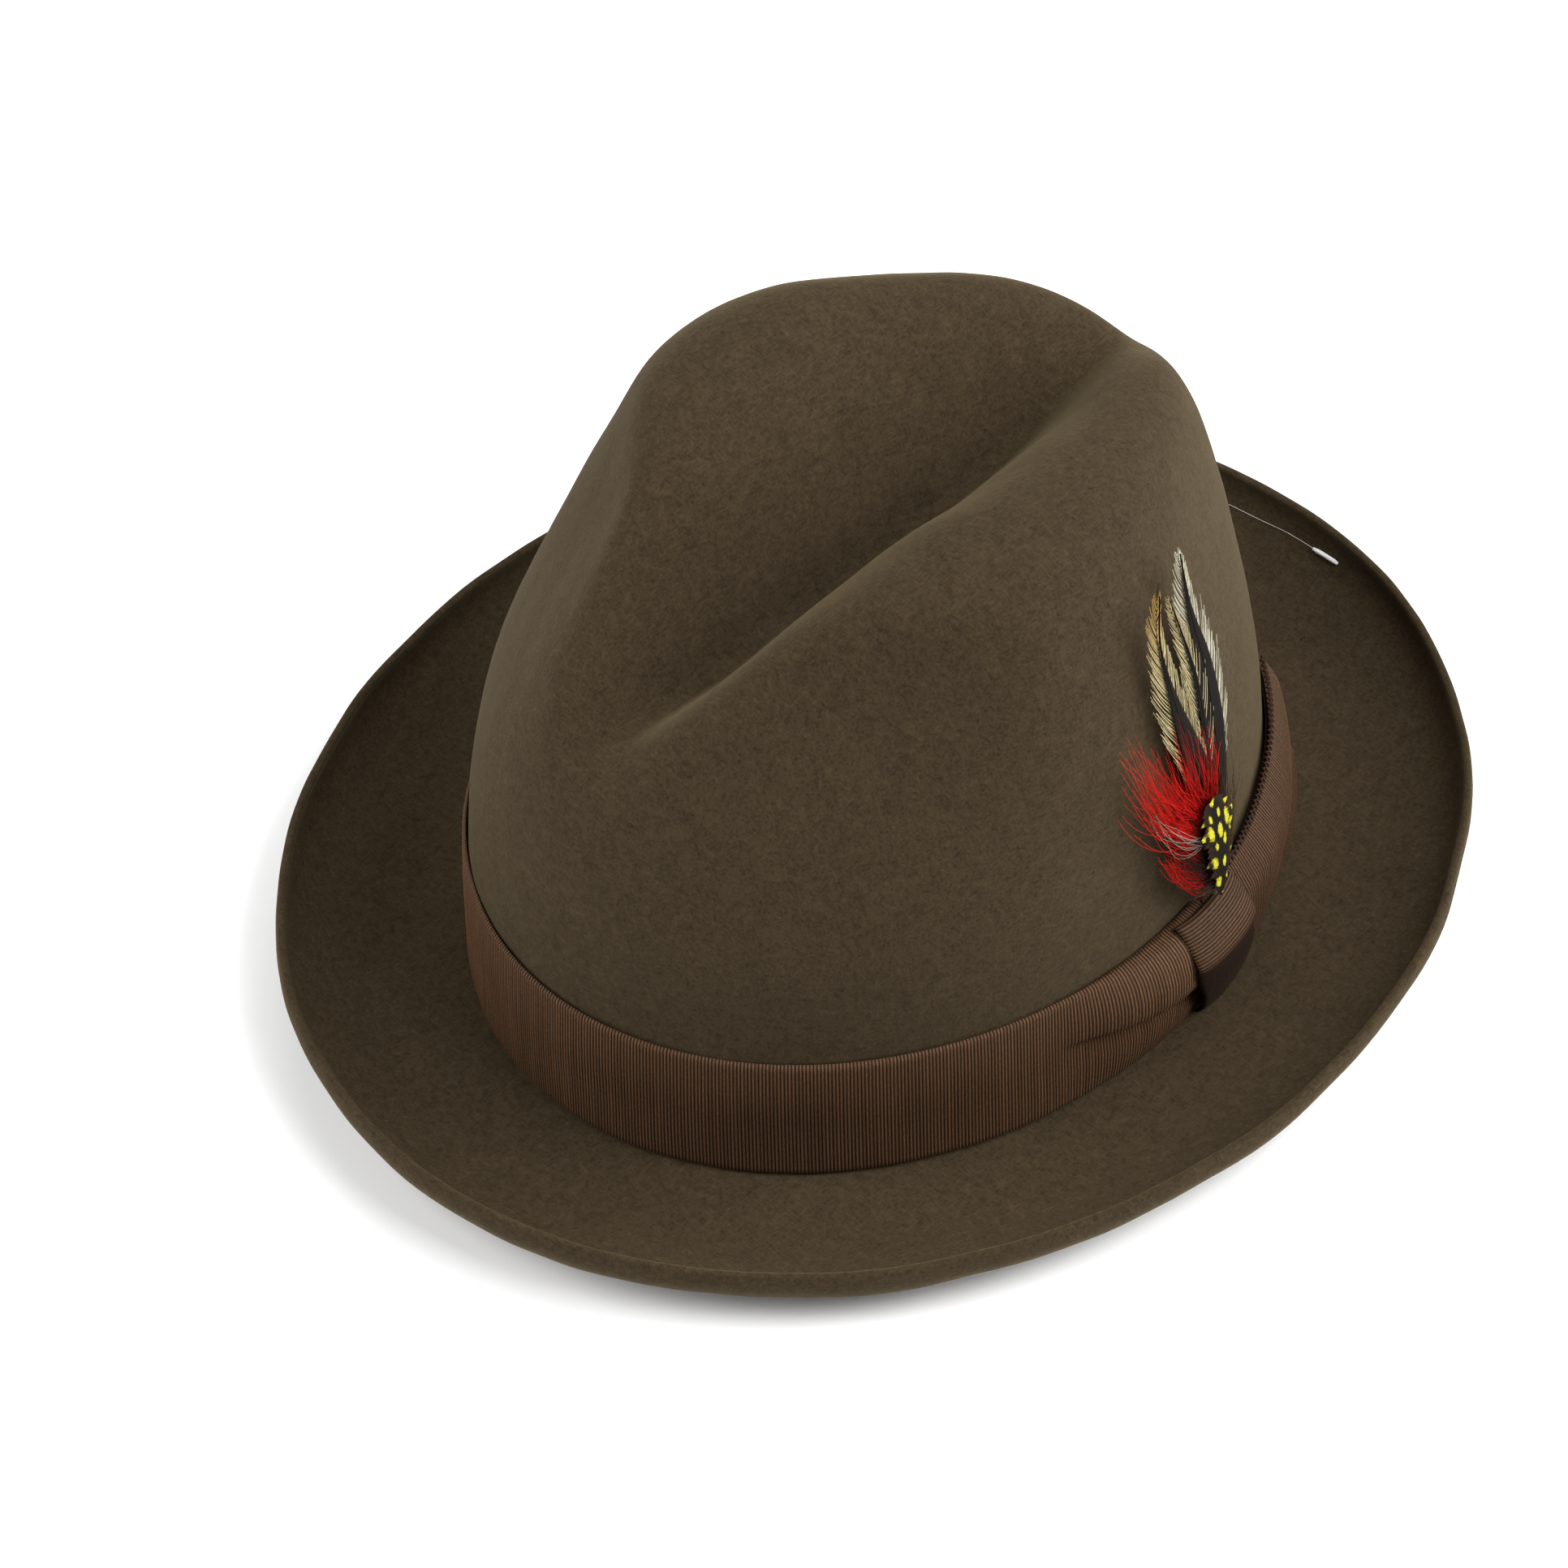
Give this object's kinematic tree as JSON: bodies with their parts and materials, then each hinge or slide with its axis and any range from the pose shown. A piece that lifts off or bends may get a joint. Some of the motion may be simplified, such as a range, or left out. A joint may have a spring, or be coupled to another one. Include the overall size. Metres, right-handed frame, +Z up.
{
  "type": "fedora hat",
  "caption": "Felt fedora with a creased and pinched crown, a curled brim, a ribbon band with a side bow, and a lift-out feather plume.",
  "frame": {"origin": "on the table, under the centre of the hat's box", "axes": "+Z up, +Y to the wearer's back, +X to the wearer's left, where the bow and plume are"},
  "size_m": [0.273, 0.3138, 0.1471],
  "materials": {
    "wool_felt": "matte brushed wool felt with a short nap",
    "grosgrain_ribbon": "ribbed grosgrain, satin sheen",
    "sweatband_leather": "smooth semi-matte leather",
    "sewing_thread": "matte polyester thread",
    "bow_satin": "satin ribbon",
    "label_cloth": "plain woven label",
    "lining_satin": "smooth satin",
    "piping_cord": "satin-covered cord",
    "clear_film": "clear soft film",
    "white_nylon": "white moulded nylon",
    "hackle_cream": "cream cock hackle with a black centre",
    "hackle_red": "dyed red hackle fluff",
    "down_brown": "brown and white down",
    "spotted_black": "black feather with yellow spots",
    "binding_thread": "waxed thread wrap",
    "pin_steel": "bright wire"
  },
  "bodies": {
    "hat": {"felt_body": "wool_felt", "hat_band": "grosgrain_ribbon", "bow_knot": "grosgrain_ribbon", "bow_tail": "grosgrain_ribbon", "sweatband": "sweatband_leather", "sweatband_reed": "sweatband_leather", "sweatband_stitching": "sewing_thread", "sweatband_bow": "bow_satin", "size_label": "label_cloth", "lining_side": "lining_satin", "lining_tip": "lining_satin", "lining_piping": "piping_cord", "tip_shield": "clear_film", "tag_fastener": "white_nylon"},
    "plume": {"hackle_left": "hackle_cream", "hackle_right": "hackle_cream", "hackle_middle": "hackle_cream", "hackle_red": "hackle_red", "down_brown": "down_brown", "spotted_feather": "spotted_black", "quill_binding": "binding_thread", "plume_pin": "pin_steel"}
  },
  "joints": [
    {"name": "plume_lift", "type": "slide", "parent": "hat", "child": "plume", "axis": [-0.0643, -0.0166, 0.9978], "range_m": [0, 0.035]}
  ]
}
